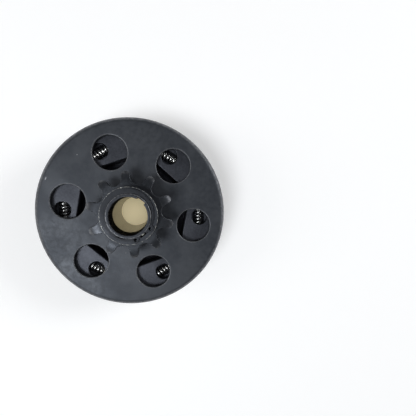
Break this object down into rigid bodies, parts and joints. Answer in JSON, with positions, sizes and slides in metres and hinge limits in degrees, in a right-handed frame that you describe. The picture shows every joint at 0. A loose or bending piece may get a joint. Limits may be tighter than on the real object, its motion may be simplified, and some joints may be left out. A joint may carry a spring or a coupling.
{
  "type": "centrifugal clutch",
  "caption": "Centrifugal clutch with a six-window steel drum, six sprung shoes, a ten-tooth chain sprocket and a keyed 19 mm bore.",
  "frame": {"origin": "on the axis, at the back end of the hub, which the clutch stands on", "axes": "+Z along the bore, from the open back of the drum to the sprocket; +X to the right in the picture"},
  "size_m": [0.108, 0.108, 0.058],
  "materials": {
    "blackened_steel": "satin black oxide",
    "hub_steel": "oiled dark steel",
    "sintered_iron": "fine matt sintered metal",
    "spring_steel": "bright wire",
    "bronze": "oil-soaked sintered bronze"
  },
  "bodies": {
    "hub": {"hub_sleeve": "hub_steel", "driver_spider": "sintered_iron", "inner_washer": "spring_steel", "front_washer": "hub_steel", "snap_ring": "blackened_steel", "back_plate": "hub_steel", "back_ring": "blackened_steel"},
    "drum": {"drum_cup": "blackened_steel", "sprocket": "blackened_steel", "sprocket_bushing": "bronze"},
    "shoe_unit_1": {"shoe_1": "sintered_iron", "spring_pins_1": "spring_steel", "spring_1": "spring_steel"},
    "shoe_unit_2": {"shoe_2": "sintered_iron", "spring_pins_2": "spring_steel", "spring_2": "spring_steel"},
    "shoe_unit_3": {"shoe_3": "sintered_iron", "spring_pins_3": "spring_steel", "spring_3": "spring_steel"},
    "shoe_unit_4": {"shoe_4": "sintered_iron", "spring_pins_4": "spring_steel", "spring_4": "spring_steel"},
    "shoe_unit_5": {"shoe_5": "sintered_iron", "spring_pins_5": "spring_steel", "spring_5": "spring_steel"},
    "shoe_unit_6": {"shoe_6": "sintered_iron", "spring_pins_6": "spring_steel", "spring_6": "spring_steel"}
  },
  "joints": [
    {"name": "drum_spin", "type": "hinge", "parent": "hub", "child": "drum", "pos_m": [0, 0, 0.04], "axis": [0, 0, 1], "continuous": true},
    {"name": "shoe_1_slide", "type": "slide", "parent": "hub", "child": "shoe_unit_1", "axis": [0.9833, -0.1822, 0], "range_m": [0, 0.0008], "stiffness_N_per_m": 6000, "springref_m": -0.002, "deforming": ["spring_1"]},
    {"name": "shoe_2_slide", "type": "slide", "parent": "hub", "child": "shoe_unit_2", "axis": [0.6494, 0.7604, 0], "range_m": [0, 0.0008], "stiffness_N_per_m": 6000, "springref_m": -0.002, "deforming": ["spring_2"]},
    {"name": "shoe_3_slide", "type": "slide", "parent": "hub", "child": "shoe_unit_3", "axis": [-0.3338, 0.9426, 0], "range_m": [0, 0.0008], "stiffness_N_per_m": 6000, "springref_m": -0.002, "deforming": ["spring_3"]},
    {"name": "shoe_4_slide", "type": "slide", "parent": "hub", "child": "shoe_unit_4", "axis": [-0.9833, 0.1822, 0], "range_m": [0, 0.0008], "stiffness_N_per_m": 6000, "springref_m": -0.002, "deforming": ["spring_4"]},
    {"name": "shoe_5_slide", "type": "slide", "parent": "hub", "child": "shoe_unit_5", "axis": [-0.6494, -0.7604, 0], "range_m": [0, 0.0008], "stiffness_N_per_m": 6000, "springref_m": -0.002, "deforming": ["spring_5"]},
    {"name": "shoe_6_slide", "type": "slide", "parent": "hub", "child": "shoe_unit_6", "axis": [0.3338, -0.9426, 0], "range_m": [0, 0.0008], "stiffness_N_per_m": 6000, "springref_m": -0.002, "deforming": ["spring_6"]}
  ],
  "couplings": [
    {"joint": "shoe_2_slide", "follows": "shoe_1_slide", "ratio": 1},
    {"joint": "shoe_3_slide", "follows": "shoe_1_slide", "ratio": 1},
    {"joint": "shoe_4_slide", "follows": "shoe_1_slide", "ratio": 1},
    {"joint": "shoe_5_slide", "follows": "shoe_1_slide", "ratio": 1},
    {"joint": "shoe_6_slide", "follows": "shoe_1_slide", "ratio": 1}
  ]
}
